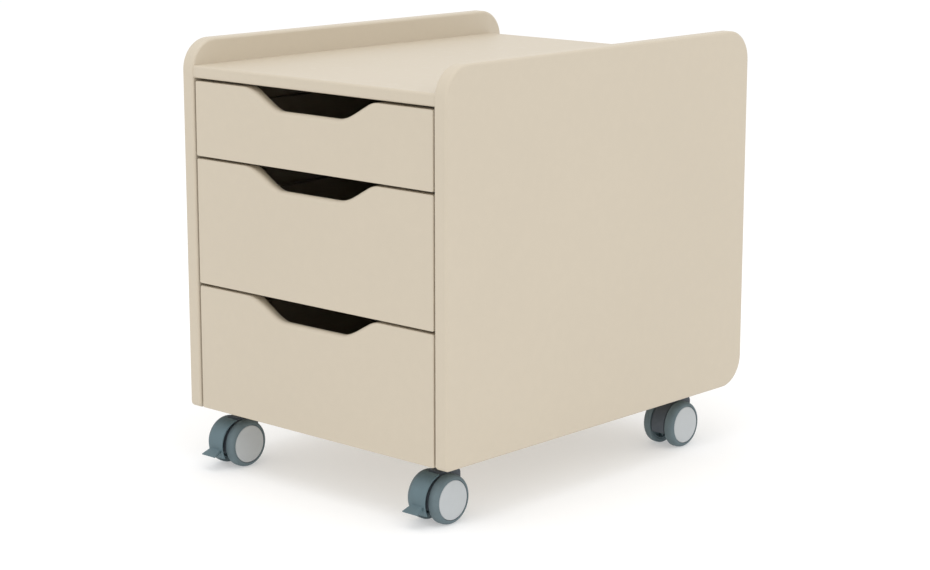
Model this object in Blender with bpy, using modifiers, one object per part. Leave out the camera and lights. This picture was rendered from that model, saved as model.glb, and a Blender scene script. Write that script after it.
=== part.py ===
"""Mobile drawer pedestal: a lacquered board cabinet, three drawers on ball runners, four twin-wheel castors.

Metres, +Z up, the drawers open towards -Y. The origin is on the floor, under the middle of the bounding box.
"""

import math

import bmesh
import bpy
from mathutils import Matrix, Vector

# Boards
WIDTH = 0.372
BOARD = 0.016
TOP_BOARD = 0.013
SIDE_REACH_FRONT = 0.0015
SIDE_REACH_BACK = 0.475
SIDE_BOTTOM = 0.0625
SIDE_TOP = 0.452
SIDE_CORNER = 0.032
SIDE_FOOT_CORNER = 0.005
SIDE_EDGE_ROUND = 0.003
TOP_SURFACE = 0.4257
TOP_REACH_BACK = 0.456
FLOOR_BOARD_UNDERSIDE = 0.0645
BOARD_EDGE_ROUND = 0.001
TOP_EDGE_ROUND = 0.0025
DRAWER_STOP = 0.001
CLEARANCE = 0.0003
CORNER_STEPS = 8
CUT_PAST = 0.01

# Drawer fronts, from the bottom up
FRONT_BOTTOMS = (0.0635, 0.1981, 0.3324)
FRONT_TOPS = (0.1957, 0.3300, 0.4104)
FRONT_SIDE_GAP = 0.0018
FRONT_CORNER = 0.002
FRONT_CORNER_STEPS = 3
FRONT_EDGE_ROUND = 0.0016
SCOOP_HALF_TOP = 0.0945
SCOOP_HALF_FLOOR = 0.0425
SCOOP_DEPTH = 0.019
SCOOP_DRAFT = 0.004
SCOOP_STEPS = 10

# Drawer boxes
DRAWER_NAMES = ("bottom", "middle", "top")
BOX_BOTTOMS = (0.0850, 0.2060, 0.3395)
BOX_TOPS = (0.1700, 0.2910, 0.3855)
BOX_BOARD = 0.012
BOX_LENGTH = 0.400
BOX_HALF_WIDTH = 0.157
BOX_FLOOR = 0.003
BOX_FLOOR_RISE = 0.010
GROOVE_DEPTH = 0.006
GROOVE_PLAY = 0.0003

# Ball runners, one member on the cabinet and one on the drawer
RUNNER_LENGTH = 0.400
RUNNER_SETBACK = 0.020
RUNNER_SHEET = 0.0012
RUNNER_HALF_HEIGHT = 0.0175
RUNNER_OUTER_REACH = 0.0100
RUNNER_LIP = 0.0030
RUNNER_INNER_HALF_HEIGHT = 0.0125
RUNNER_INNER_REACH = 0.0085

# Castors
CASTOR_X = 0.1470
CASTOR_AXLE_Y = {"front": 0.0283, "rear": 0.4010}
CASTOR_TRAIL = 0.0135
WHEEL_RADIUS = 0.025
WHEEL_INNER_FACE = 0.0095
WHEEL_OUTER_FACE = 0.0208
WHEEL_SHOULDER_WIDTH = 0.0060
WHEEL_SHOULDER_DROP = 0.0046
WHEEL_SHOULDER_STEPS = 4
WHEEL_INNER_CHAMFER = 0.0008
WHEEL_BORE_DEPTH = 0.0085
WHEEL_STEPS = 32
AXLE_RADIUS = 0.003
AXLE_HALF_LENGTH = 0.0177
AXLE_TIP = 0.0005
BODY_HALF_WIDTH = 0.0085
BODY_RADIUS = 0.024
BODY_CROWN = 0.027
BODY_CROWN_CORNER = 0.006
BODY_STEP_LEAN = 0.0004
BODY_BACK = 0.0235
BODY_UNDERSIDE = -0.008
BODY_FOOT_CORNER = 0.008
BODY_ARC = (-19.0, 77.0)
BODY_EDGE_ROUND = 0.0008
NECK_RADIUS = 0.008
NECK_SINK = 0.006
NECK_TOP = 0.0610
NECK_STEPS = 24
STEM_RADIUS = 0.004
STEM_FOOT = 0.036
STEM_TOP = 0.0775
STEM_TIP = 0.0008
COLLAR_RADIUS = 0.0085
SOCKET_RADIUS = 0.0055
SOCKET_FLANGE = 0.0010
ROUND_STEPS = 16

# Brake levers of the two front castors. The cover's arc is centred in front of the axle.
LEVER_CENTRE = -0.0035
LEVER_INNER = 0.0254
LEVER_OUTER = 0.0270
LEVER_ARC = (-29.0, 78.0)
LEVER_HALF_WIDTH = 0.0098
LEVER_RIB_HALF = 0.003
LEVER_RIB_HALF_HEIGHT = 0.004
LEVER_HUB_RADIUS = 0.007
LEVER_HUB_PLAY = 0.0005
LEVER_SLOT_HALF = 0.0034
LEVER_SLOT_LOW = -0.012
LEVER_SLOT_HIGH = 0.005
PEDAL_TIP = (-0.0408, -0.0077)
PEDAL_TIP_FOOT = (-0.0404, -0.0090)
PEDAL_ROOT = (-0.0296, -0.0024)
PEDAL_ROOT_FOOT = (-0.0290, -0.0066)
PEDAL_TIP_HALF_WIDTH = 0.0102
PEDAL_ROOT_HALF_WIDTH = 0.0074

# The plane of the drawer fronts, set so that the bounding box is centred on the origin
PEDAL_REACH = -PEDAL_TIP[0] - CASTOR_AXLE_Y["front"]
FRONT_Y = (PEDAL_REACH - SIDE_REACH_BACK) / 2
INNER_HALF = WIDTH / 2 - BOARD

# A flat outline lies in (Y, Z) and is thick along X, or lies in (X, Z) and is thick along Y
THICK_ALONG_X = Matrix(((0, 0, 1), (1, 0, 0), (0, 1, 0))).to_4x4()
THICK_ALONG_Y = Matrix(((1, 0, 0), (0, 0, -1), (0, 1, 0))).to_4x4()
TURNED_TO_X = Matrix.Rotation(math.radians(90), 4, "Y")
TURNED_TO_MINUS_X = Matrix.Rotation(math.radians(-90), 4, "Y")

COLOURS = {
    "lacquered_board": ((0.66, 0.56, 0.44), 0.45, 0.0),
    "drawer_box_board": ((0.72, 0.66, 0.56), 0.50, 0.0),
    "hardboard": ((0.60, 0.52, 0.41), 0.60, 0.0),
    "runner_steel": ((0.56, 0.57, 0.58), 0.30, 1.0),
    "castor_shell": ((0.13, 0.18, 0.20), 0.45, 0.0),
    "castor_wheel": ((0.11, 0.15, 0.17), 0.50, 0.0),
    "pin_steel": ((0.60, 0.60, 0.60), 0.25, 1.0),
}


def clear_scene():
    for obj in list(bpy.data.objects):
        bpy.data.objects.remove(obj, do_unlink=True)


def make_collection(name, shown):
    collection = bpy.data.collections.new(name)
    collection.hide_render = not shown
    bpy.context.scene.collection.children.link(collection)
    return collection


def make_material(name):
    colour, roughness, metallic = COLOURS[name]
    material = bpy.data.materials.new(name)
    material.use_nodes = True
    shader = material.node_tree.nodes["Principled BSDF"]
    shader.inputs["Base Color"].default_value = (*colour, 1.0)
    shader.inputs["Roughness"].default_value = roughness
    shader.inputs["Metallic"].default_value = metallic
    material.diffuse_color = (*colour, 1.0)
    return material


def make_empty(name, location, parent=None):
    empty = bpy.data.objects.new(name, None)
    empty.empty_display_size = 0.02
    empty.location = location
    empty.parent = parent
    PARTS.objects.link(empty)
    return empty


def make_piece(name, mesh, material, location=(0, 0, 0), parent=None):
    piece = bpy.data.objects.new(name, mesh)
    piece.data.materials.append(MATERIALS[material])
    piece.location = location
    piece.parent = parent
    PARTS.objects.link(piece)
    return piece


def make_cutter(name, mesh, target):
    """A helper solid that shares the parent and the place of the piece it shapes."""
    cutter = bpy.data.objects.new(name, mesh)
    cutter.location = target.location
    cutter.parent = target.parent
    cutter.hide_render = True
    cutter.display_type = "WIRE"
    CUTTERS.objects.link(cutter)
    return cutter


def mesh_from_bmesh(name, shape):
    mesh = bpy.data.meshes.new(name)
    shape.to_mesh(mesh)
    shape.free()
    return mesh


def box_mesh(name, low, high):
    """A block between two corners."""
    low = Vector(low)
    size = Vector(high) - low
    shape = bmesh.new()
    bmesh.ops.create_cube(shape, size=1.0)
    bmesh.ops.scale(shape, vec=size, verts=shape.verts)
    bmesh.ops.translate(shape, vec=low + size / 2, verts=shape.verts)
    return mesh_from_bmesh(name, shape)


def ring_mesh(name, first, second):
    """A solid between two rings that have the same number of points."""
    shape = bmesh.new()
    near = [shape.verts.new(point) for point in first]
    far = [shape.verts.new(point) for point in second]
    shape.faces.new(near)
    shape.faces.new(reversed(far))
    for index in range(len(near)):
        after = (index + 1) % len(near)
        shape.faces.new((near[index], far[index], far[after], near[after]))
    bmesh.ops.recalc_face_normals(shape, faces=shape.faces)
    return mesh_from_bmesh(name, shape)


def rod_mesh(name, radius, start, end, steps=ROUND_STEPS):
    """A round bar between two points."""
    start = Vector(start)
    along = Vector(end) - start
    turn = along.to_track_quat("Z", "Y").to_matrix().to_4x4()
    shape = bmesh.new()
    bmesh.ops.create_cone(
        shape, cap_ends=True, segments=steps, radius1=radius, radius2=radius, depth=along.length
    )
    bmesh.ops.transform(shape, matrix=Matrix.Translation(start + along / 2) @ turn, verts=shape.verts)
    return mesh_from_bmesh(name, shape)


def outline_mesh(name, outline, thickness, facing, shift=(0, 0, 0)):
    """A flat filled outline, extruded to its thickness about its own plane, as one closed mesh."""
    curve = bpy.data.curves.new(name + "_outline", "CURVE")
    curve.dimensions = "2D"
    curve.fill_mode = "BOTH"
    curve.extrude = thickness / 2
    spline = curve.splines.new("POLY")
    spline.points.add(len(outline) - 1)
    for point, place in zip(spline.points, outline):
        point.co = (place[0], place[1], 0.0, 1.0)
    spline.use_cyclic_u = True
    holder = bpy.data.objects.new(name + "_outline", curve)
    bpy.context.scene.collection.objects.link(holder)
    graph = bpy.context.evaluated_depsgraph_get()
    mesh = bpy.data.meshes.new_from_object(holder.evaluated_get(graph))
    bpy.data.objects.remove(holder, do_unlink=True)
    mesh.name = name
    shape = bmesh.new()
    shape.from_mesh(mesh)
    bmesh.ops.remove_doubles(shape, verts=shape.verts, dist=1e-6)
    bmesh.ops.dissolve_limit(shape, angle_limit=math.radians(0.5), verts=shape.verts, edges=shape.edges)
    bmesh.ops.transform(shape, matrix=Matrix.Translation(shift) @ facing, verts=shape.verts)
    bmesh.ops.recalc_face_normals(shape, faces=shape.faces)
    shape.to_mesh(mesh)
    shape.free()
    return mesh


def profile_mesh(name, profile, closed=False):
    """The (radius, height) profile of a turned piece, as edges in the XZ plane."""
    shape = bmesh.new()
    corners = [shape.verts.new((radius, 0.0, height)) for radius, height in profile]
    for start, end in zip(corners, corners[1:]):
        shape.edges.new((start, end))
    if closed:
        shape.edges.new((corners[-1], corners[0]))
    return mesh_from_bmesh(name, shape)


def add_screw(piece, steps):
    screw = piece.modifiers.new("Turn", "SCREW")
    screw.axis = "Z"
    screw.angle = math.tau
    screw.steps = steps
    screw.render_steps = steps
    screw.use_merge_vertices = True
    screw.merge_threshold = 0.00001
    screw.use_smooth_shade = True


def add_bevel(piece, width, segments=2, angle=40.0):
    bevel = piece.modifiers.new("Round edges", "BEVEL")
    bevel.width = width
    bevel.segments = segments
    bevel.limit_method = "ANGLE"
    bevel.angle_limit = math.radians(angle)
    bevel.use_clamp_overlap = False


def add_boolean(piece, other, operation):
    boolean = piece.modifiers.new(operation.title(), "BOOLEAN")
    boolean.operation = operation
    boolean.object = other


def smooth(mesh):
    mesh.shade_smooth()
    mesh.set_sharp_from_angle(angle=math.radians(35))


def arc(centre, radius, start, end, steps):
    """Points of an arc. Its angles are in degrees, from the first axis towards the second."""
    points = []
    for step in range(steps + 1):
        angle = math.radians(start + (end - start) * step / steps)
        points.append((centre[0] + radius * math.cos(angle), centre[1] + radius * math.sin(angle)))
    return points


def rounded_rectangle(low, high, radii, steps):
    """Corners run anticlockwise from low-low: (low, low), (high, low), (high, high), (low, high)."""
    first, second, third, fourth = radii
    points = arc((low[0] + first, low[1] + first), first, 180, 270, steps)
    points += arc((high[0] - second, low[1] + second), second, 270, 360, steps)
    points += arc((high[0] - third, high[1] - third), third, 0, 90, steps)
    points += arc((low[0] + fourth, high[1] - fourth), fourth, 90, 180, steps)
    return points


def front_outline(height, draft):
    """A drawer front about its bottom centre. The finger scoop in its top edge is deeper by the draft."""
    half = INNER_HALF - FRONT_SIDE_GAP
    low = (-half, 0.0)
    corners = rounded_rectangle(low, (half, height), (FRONT_CORNER,) * 4, FRONT_CORNER_STEPS)
    last_corner = 3 * (FRONT_CORNER_STEPS + 1)
    slope = [scoop_point(step / SCOOP_STEPS, draft) for step in range(SCOOP_STEPS + 1)]
    right = [(x, height - drop) for x, drop in slope]
    left = [(-x, height - drop) for x, drop in reversed(slope)]
    return corners[:last_corner] + right + left + corners[last_corner:]


def scoop_point(share, draft):
    """The scoop's S-shaped flank, from the top edge at share 0 to the scoop's floor at share 1."""
    x = SCOOP_HALF_TOP + (SCOOP_HALF_FLOOR - SCOOP_HALF_TOP) * share
    drop = (SCOOP_DEPTH + draft) * (1 - math.cos(math.pi * share)) / 2
    return x, drop


def make_side_panel(name, sign):
    low = (FRONT_Y - SIDE_REACH_FRONT, SIDE_BOTTOM)
    high = (FRONT_Y + SIDE_REACH_BACK, SIDE_TOP)
    radii = (SIDE_FOOT_CORNER, SIDE_CORNER, SIDE_CORNER, SIDE_CORNER)
    outline = rounded_rectangle(low, high, radii, CORNER_STEPS)
    middle = (sign * (WIDTH - BOARD) / 2, 0, 0)
    mesh = outline_mesh(name, outline, BOARD, THICK_ALONG_X, middle)
    panel = make_piece(name, mesh, "lacquered_board")
    add_bevel(panel, SIDE_EDGE_ROUND, 3)
    smooth(mesh)


def make_top_panel():
    half = INNER_HALF - CLEARANCE
    low = (-half, FRONT_Y, TOP_SURFACE - TOP_BOARD)
    high = (half, FRONT_Y + TOP_REACH_BACK, TOP_SURFACE)
    panel = make_piece("top_panel", box_mesh("top_panel", low, high), "lacquered_board")
    add_bevel(panel, TOP_EDGE_ROUND, 3)


def make_bottom_panel():
    """The floor of the cabinet, bored through for the four castor sockets."""
    half = INNER_HALF - CLEARANCE
    low = (-half, FRONT_Y + BOARD + DRAWER_STOP, FLOOR_BOARD_UNDERSIDE)
    high = (half, FRONT_Y + TOP_REACH_BACK - BOARD - CLEARANCE, FLOOR_BOARD_UNDERSIDE + BOARD)
    panel = make_piece("bottom_panel", box_mesh("bottom_panel", low, high), "lacquered_board")
    for corner, (x, y) in castor_stems().items():
        start = (x, y, low[2] - CUT_PAST)
        end = (x, y, high[2] + CUT_PAST)
        hole = rod_mesh("socket_hole_" + corner, SOCKET_RADIUS + CLEARANCE, start, end)
        add_boolean(panel, make_cutter("socket_hole_" + corner, hole, panel), "DIFFERENCE")


def make_back_panel():
    half = INNER_HALF - CLEARANCE
    back = FRONT_Y + TOP_REACH_BACK
    low = (-half, back - BOARD, FLOOR_BOARD_UNDERSIDE)
    high = (half, back, TOP_SURFACE - TOP_BOARD - CLEARANCE)
    panel = make_piece("back_panel", box_mesh("back_panel", low, high), "lacquered_board")
    add_bevel(panel, BOARD_EDGE_ROUND)


def make_drawer(index):
    """A drawer: its front, and a box of four boards round a thin floor that slides in grooves."""
    name = DRAWER_NAMES[index] + "_drawer"
    slide = make_empty(name + "_slide", (0, FRONT_Y, FRONT_BOTTOMS[index]))
    box_low = BOX_BOTTOMS[index] - FRONT_BOTTOMS[index]
    box_high = BOX_TOPS[index] - FRONT_BOTTOMS[index]
    make_drawer_front(name, FRONT_TOPS[index] - FRONT_BOTTOMS[index], slide)
    for label, sign in (("left", -1), ("right", 1)):
        make_box_side(name, label, sign, box_low, box_high, slide)
    make_box_back(name, box_low, box_high, slide)
    make_box_floor(name, box_low, slide)
    for label, sign in (("left", -1), ("right", 1)):
        make_runner(name, label, sign, (box_low + box_high) / 2, slide)


def make_drawer_front(name, height, slide):
    """The front's face is at Y 0, and its scoop deepens towards its back."""
    face = [(x, 0.0, z) for x, z in front_outline(height, 0.0)]
    back = [(x, BOARD, z) for x, z in front_outline(height, SCOOP_DRAFT)]
    mesh = ring_mesh(name + "_front", face, back)
    front = make_piece(name + "_front", mesh, "lacquered_board", parent=slide)
    add_bevel(front, FRONT_EDGE_ROUND)
    smooth(mesh)


def make_box_side(name, label, sign, low, high, slide):
    """The grooved section, run from the drawer front to the back of the box."""
    outer = sign * BOX_HALF_WIDTH
    inner = sign * (BOX_HALF_WIDTH - BOX_BOARD)
    groove = sign * (BOX_HALF_WIDTH - BOX_BOARD + GROOVE_DEPTH)
    groove_low = low + BOX_FLOOR_RISE
    groove_high = groove_low + BOX_FLOOR + 2 * GROOVE_PLAY
    section = [
        (outer, low),
        (outer, high),
        (inner, high),
        (inner, groove_high),
        (groove, groove_high),
        (groove, groove_low),
        (inner, groove_low),
        (inner, low),
    ]
    middle = (0, BOARD + CLEARANCE + BOX_LENGTH / 2, 0)
    full_name = name + "_" + label + "_side"
    mesh = outline_mesh(full_name, section, BOX_LENGTH, THICK_ALONG_Y, middle)
    make_piece(full_name, mesh, "drawer_box_board", parent=slide)


def make_box_back(name, low, high, slide):
    """The back board stands between the sides, just above the floor."""
    half = BOX_HALF_WIDTH - BOX_BOARD - CLEARANCE
    back = BOARD + CLEARANCE + BOX_LENGTH
    foot = low + BOX_FLOOR_RISE + BOX_FLOOR + GROOVE_PLAY + CLEARANCE
    mesh = box_mesh(name + "_back", (-half, back - BOX_BOARD, foot), (half, back, high))
    make_piece(name + "_back", mesh, "drawer_box_board", parent=slide)


def make_box_floor(name, low, slide):
    half = BOX_HALF_WIDTH - BOX_BOARD + GROOVE_DEPTH - CLEARANCE
    bottom = low + BOX_FLOOR_RISE + GROOVE_PLAY
    front = BOARD + CLEARANCE
    high = (half, front + BOX_LENGTH, bottom + BOX_FLOOR)
    mesh = box_mesh(name + "_floor", (-half, front, bottom), high)
    make_piece(name + "_floor", mesh, "hardboard", parent=slide)


def channel_section(wall, sign, reach, half_height, lip):
    """A C-shaped section of bent sheet. Its web stands at wall, and it opens towards sign."""
    sheet = RUNNER_SHEET
    web = wall + sign * sheet
    mouth = wall + sign * reach
    points = [(wall, -half_height), (mouth, -half_height)]
    if lip:
        inside = mouth - sign * sheet
        points += [(mouth, lip - half_height), (inside, lip - half_height), (inside, sheet - half_height)]
    else:
        points += [(mouth, sheet - half_height)]
    points += [(web, sheet - half_height)]
    return points + [(x, -z) for x, z in reversed(points)]


def make_runner(name, label, sign, height, slide):
    """A ball runner. The cabinet's member opens inwards, round the drawer's member, which opens outwards."""
    wall = sign * (INNER_HALF - CLEARANCE)
    section = channel_section(wall, -sign, RUNNER_OUTER_REACH, RUNNER_HALF_HEIGHT, RUNNER_LIP)
    place = slide.location + Vector((0, RUNNER_SETBACK + RUNNER_LENGTH / 2, height))
    full_name = name + "_" + label + "_cabinet_runner"
    mesh = outline_mesh(full_name, section, RUNNER_LENGTH, THICK_ALONG_Y, place)
    make_piece(full_name, mesh, "runner_steel")
    wall = sign * (BOX_HALF_WIDTH + CLEARANCE)
    section = channel_section(wall, sign, RUNNER_INNER_REACH, RUNNER_INNER_HALF_HEIGHT, 0)
    full_name = name + "_" + label + "_drawer_runner"
    mesh = outline_mesh(full_name, section, RUNNER_LENGTH, THICK_ALONG_Y, place - slide.location)
    make_piece(full_name, mesh, "runner_steel", parent=slide)


def castor_stems():
    """Where each castor's upright stem stands, by corner."""
    places = {}
    for end, axle_y in CASTOR_AXLE_Y.items():
        for side, sign in (("left", -1), ("right", 1)):
            places[end + "_" + side] = (sign * CASTOR_X, FRONT_Y + axle_y + CASTOR_TRAIL)
    return places


def make_castor(corner, x, y):
    braked = corner.startswith("front")
    name = "castor_" + corner
    swivel = make_empty(name + "_swivel", (x, y, 0))
    hub = make_empty(name + "_hub", (0, -CASTOR_TRAIL, WHEEL_RADIUS), swivel)
    make_castor_socket(name, (x, y, 0))
    make_castor_stem(name, (x, y, 0))
    make_castor_body(name, hub, braked)
    make_axle(name, hub)
    make_wheel(name + "_left_wheel", hub, -1)
    make_wheel(name + "_right_wheel", hub, 1)
    if braked:
        make_brake_lever(name, hub)


def make_castor_socket(name, place):
    """A flanged sleeve, pressed into the cabinet's floor from below."""
    seat = FLOOR_BOARD_UNDERSIDE - CLEARANCE
    bore = STEM_RADIUS + CLEARANCE
    top = FLOOR_BOARD_UNDERSIDE + BOARD
    full_name = name + "_socket"
    profile = [
        (bore, top),
        (SOCKET_RADIUS, top),
        (SOCKET_RADIUS, seat),
        (COLLAR_RADIUS, seat),
        (COLLAR_RADIUS, seat - SOCKET_FLANGE),
        (bore, seat - SOCKET_FLANGE),
    ]
    socket = make_piece(full_name, profile_mesh(full_name, profile, True), "pin_steel", place)
    add_screw(socket, ROUND_STEPS)


def make_castor_stem(name, place):
    """The stem stays in its socket. Its collar carries the load, and the castor turns on its lower end."""
    collar_top = FLOOR_BOARD_UNDERSIDE - 2 * CLEARANCE - SOCKET_FLANGE
    collar_foot = NECK_TOP + CLEARANCE
    profile = [
        (0.0, STEM_TOP),
        (STEM_RADIUS - STEM_TIP, STEM_TOP),
        (STEM_RADIUS, STEM_TOP - STEM_TIP),
        (STEM_RADIUS, collar_top),
        (COLLAR_RADIUS, collar_top),
        (COLLAR_RADIUS, collar_foot),
        (STEM_RADIUS, collar_foot),
        (STEM_RADIUS, STEM_FOOT + STEM_TIP),
        (STEM_RADIUS - STEM_TIP, STEM_FOOT),
        (0.0, STEM_FOOT),
    ]
    stem = make_piece(name + "_stem", profile_mesh(name + "_stem", profile), "pin_steel", place)
    add_screw(stem, ROUND_STEPS)


def body_outline():
    """The castor body seen from its side, about the axle: a round front, a flat crown and a square back."""
    start, end = BODY_ARC
    front = arc((0, 0), BODY_RADIUS, 180 - start, 180 - end, 10)
    crown = [(front[-1][0] + BODY_STEP_LEAN, BODY_CROWN)]
    radius = BODY_CROWN_CORNER
    back = arc((BODY_BACK - radius, BODY_CROWN - radius), radius, 90, 0, 4)
    radius = BODY_FOOT_CORNER
    under = arc((BODY_BACK - radius, BODY_UNDERSIDE + radius), radius, 0, -90, 4)
    return front + crown + back + under


def make_castor_body(name, hub, braked):
    """The body between the wheels, with the swivel neck on top and bores for the stem and the axle."""
    full_name = name + "_body"
    mesh = outline_mesh(full_name, body_outline(), 2 * BODY_HALF_WIDTH, THICK_ALONG_X)
    body = make_piece(full_name, mesh, "castor_shell", parent=hub)
    add_bevel(body, BODY_EDGE_ROUND, 1)
    neck_top = NECK_TOP - WHEEL_RADIUS
    foot = (0, CASTOR_TRAIL, BODY_CROWN - NECK_SINK)
    neck = rod_mesh(full_name + "_neck", NECK_RADIUS, foot, (0, CASTOR_TRAIL, neck_top), NECK_STEPS)
    add_boolean(body, make_cutter(full_name + "_neck", neck, body), "UNION")
    foot = (0, CASTOR_TRAIL, STEM_FOOT - WHEEL_RADIUS - CLEARANCE)
    top = (0, CASTOR_TRAIL, neck_top + CUT_PAST)
    bore = rod_mesh(full_name + "_bore", STEM_RADIUS + CLEARANCE, foot, top)
    add_boolean(body, make_cutter(full_name + "_bore", bore, body), "DIFFERENCE")
    reach = BODY_HALF_WIDTH + CUT_PAST
    eye = rod_mesh(full_name + "_eye", AXLE_RADIUS + CLEARANCE, (-reach, 0, 0), (reach, 0, 0))
    add_boolean(body, make_cutter(full_name + "_eye", eye, body), "DIFFERENCE")
    if braked:
        add_lever_slot(full_name, body)
    smooth(mesh)


def add_lever_slot(full_name, body):
    """The slot in which the brake lever's rib swings about the axle."""
    half = LEVER_SLOT_HALF
    low = (-half, -BODY_RADIUS - CUT_PAST, LEVER_SLOT_LOW)
    slot = box_mesh(full_name + "_slot", low, (half, 0.0, LEVER_SLOT_HIGH))
    add_boolean(body, make_cutter(full_name + "_slot", slot, body), "DIFFERENCE")
    radius = LEVER_HUB_RADIUS + LEVER_HUB_PLAY
    pocket = rod_mesh(full_name + "_pocket", radius, (-half, 0, 0), (half, 0, 0), NECK_STEPS)
    add_boolean(body, make_cutter(full_name + "_pocket", pocket, body), "DIFFERENCE")


def make_axle(name, hub):
    profile = [
        (0.0, AXLE_HALF_LENGTH),
        (AXLE_RADIUS - AXLE_TIP, AXLE_HALF_LENGTH),
        (AXLE_RADIUS, AXLE_HALF_LENGTH - AXLE_TIP),
        (AXLE_RADIUS, AXLE_TIP - AXLE_HALF_LENGTH),
        (AXLE_RADIUS - AXLE_TIP, -AXLE_HALF_LENGTH),
        (0.0, -AXLE_HALF_LENGTH),
    ]
    mesh = profile_mesh(name + "_axle", profile)
    axle = make_piece(name + "_axle", mesh, "pin_steel", parent=hub)
    axle.rotation_euler = TURNED_TO_X.to_euler()
    add_screw(axle, ROUND_STEPS)


def make_wheel(full_name, hub, sign):
    """A wheel with a blind hub bore. Its heights run outwards from its inner face."""
    width = WHEEL_OUTER_FACE - WHEEL_INNER_FACE
    bore = AXLE_RADIUS + CLEARANCE
    profile = [(0.0, width)]
    for across, up in arc((0, 0), 1.0, 90, 0, WHEEL_SHOULDER_STEPS):
        radius = WHEEL_RADIUS - WHEEL_SHOULDER_DROP * (1 - across)
        profile.append((radius, width - WHEEL_SHOULDER_WIDTH * (1 - up)))
    profile += [
        (WHEEL_RADIUS, WHEEL_INNER_CHAMFER),
        (WHEEL_RADIUS - WHEEL_INNER_CHAMFER, 0.0),
        (bore, 0.0),
        (bore, WHEEL_BORE_DEPTH),
        (0.0, WHEEL_BORE_DEPTH),
    ]
    mesh = profile_mesh(full_name, profile)
    wheel = make_piece(full_name, mesh, "castor_wheel", (sign * WHEEL_INNER_FACE, 0, 0), hub)
    wheel.rotation_euler = (TURNED_TO_X if sign > 0 else TURNED_TO_MINUS_X).to_euler()
    add_screw(wheel, WHEEL_STEPS)


def make_brake_lever(name, hub):
    """The curved cover that swings about the axle, its foot pedal, and the rib and hub that carry it."""
    full_name = name + "_brake_lever"
    start, end = LEVER_ARC
    cover = arc((LEVER_CENTRE, 0), LEVER_OUTER, 180 - start, 180 - end, 12)
    cover += arc((LEVER_CENTRE, 0), LEVER_INNER, 180 - end, 180 - start, 12)
    mesh = outline_mesh(full_name, cover, 2 * LEVER_HALF_WIDTH, THICK_ALONG_X)
    lever = make_piece(full_name, mesh, "castor_shell", parent=hub)
    add_boolean(lever, make_cutter(full_name + "_pedal", pedal_mesh(full_name), lever), "UNION")
    half = LEVER_RIB_HALF
    wall = LEVER_CENTRE - (LEVER_INNER + LEVER_OUTER) / 2
    low = (-half, wall, -LEVER_RIB_HALF_HEIGHT)
    rib = box_mesh(full_name + "_rib", low, (half, 0.0, LEVER_RIB_HALF_HEIGHT))
    add_boolean(lever, make_cutter(full_name + "_rib", rib, lever), "UNION")
    boss = rod_mesh(full_name + "_boss", LEVER_HUB_RADIUS, (-half, 0, 0), (half, 0, 0), NECK_STEPS)
    add_boolean(lever, make_cutter(full_name + "_boss", boss, lever), "UNION")
    start = (-CUT_PAST, 0, 0)
    eye = rod_mesh(full_name + "_eye", AXLE_RADIUS + CLEARANCE, start, (CUT_PAST, 0, 0))
    add_boolean(lever, make_cutter(full_name + "_eye", eye, lever), "DIFFERENCE")
    smooth(mesh)


def pedal_mesh(full_name):
    """The pedal's section, from its root in the cover to its tip, with sides that flare towards the tip."""
    flare = (PEDAL_TIP_HALF_WIDTH - PEDAL_ROOT_HALF_WIDTH) / (PEDAL_ROOT[0] - PEDAL_TIP[0])
    rings = []
    for side in (-1, 1):
        ring = []
        for y, z in (PEDAL_ROOT, PEDAL_TIP, PEDAL_TIP_FOOT, PEDAL_ROOT_FOOT):
            ring.append((side * (PEDAL_TIP_HALF_WIDTH - flare * (y - PEDAL_TIP[0])), y, z))
        rings.append(ring)
    return ring_mesh(full_name + "_pedal", *rings)


clear_scene()
PARTS = make_collection("mobile_drawer_pedestal", True)
CUTTERS = make_collection("cutters", False)
MATERIALS = {name: make_material(name) for name in COLOURS}
make_side_panel("left_side_panel", -1)
make_side_panel("right_side_panel", 1)
make_top_panel()
make_bottom_panel()
make_back_panel()
for drawer in range(len(DRAWER_NAMES)):
    make_drawer(drawer)
for castor, (stem_x, stem_y) in castor_stems().items():
    make_castor(castor, stem_x, stem_y)
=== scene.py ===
"""Looks of the mobile drawer pedestal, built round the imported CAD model.

Every length is in metres, in the CAD's own frame: +Z up, the drawers open towards -Y.
"""

import math

import bmesh
import bpy
from mathutils import Matrix, Vector

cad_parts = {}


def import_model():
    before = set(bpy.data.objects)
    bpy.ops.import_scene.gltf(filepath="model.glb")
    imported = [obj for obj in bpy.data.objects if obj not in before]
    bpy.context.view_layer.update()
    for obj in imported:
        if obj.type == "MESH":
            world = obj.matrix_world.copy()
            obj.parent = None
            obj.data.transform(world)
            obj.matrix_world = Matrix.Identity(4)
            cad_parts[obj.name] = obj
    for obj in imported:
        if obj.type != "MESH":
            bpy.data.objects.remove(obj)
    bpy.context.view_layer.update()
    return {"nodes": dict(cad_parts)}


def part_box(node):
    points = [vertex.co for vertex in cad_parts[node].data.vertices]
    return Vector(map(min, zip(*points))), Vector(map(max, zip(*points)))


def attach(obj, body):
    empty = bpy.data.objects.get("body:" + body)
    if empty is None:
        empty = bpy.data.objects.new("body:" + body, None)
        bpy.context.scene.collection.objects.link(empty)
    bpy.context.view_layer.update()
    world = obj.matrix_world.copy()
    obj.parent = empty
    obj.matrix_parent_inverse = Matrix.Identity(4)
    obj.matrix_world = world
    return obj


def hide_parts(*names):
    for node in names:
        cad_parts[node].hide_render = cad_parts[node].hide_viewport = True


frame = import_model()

# Camera and light
CAMERA_PLACE = (1.6088, -1.7564, 0.6898)
CAMERA_YAW = 42.554
CAMERA_PITCH = 12.0
CAMERA_LENS = 87.92
CAMERA_SENSOR = 36.0
CAMERA_REACH = 60.0
WORLD_STRENGTH = 1.0
FLOOR_GLOW = 0.36
FLOOR_HALF = 20.0
FLOOR_SQUARES = 8

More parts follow.
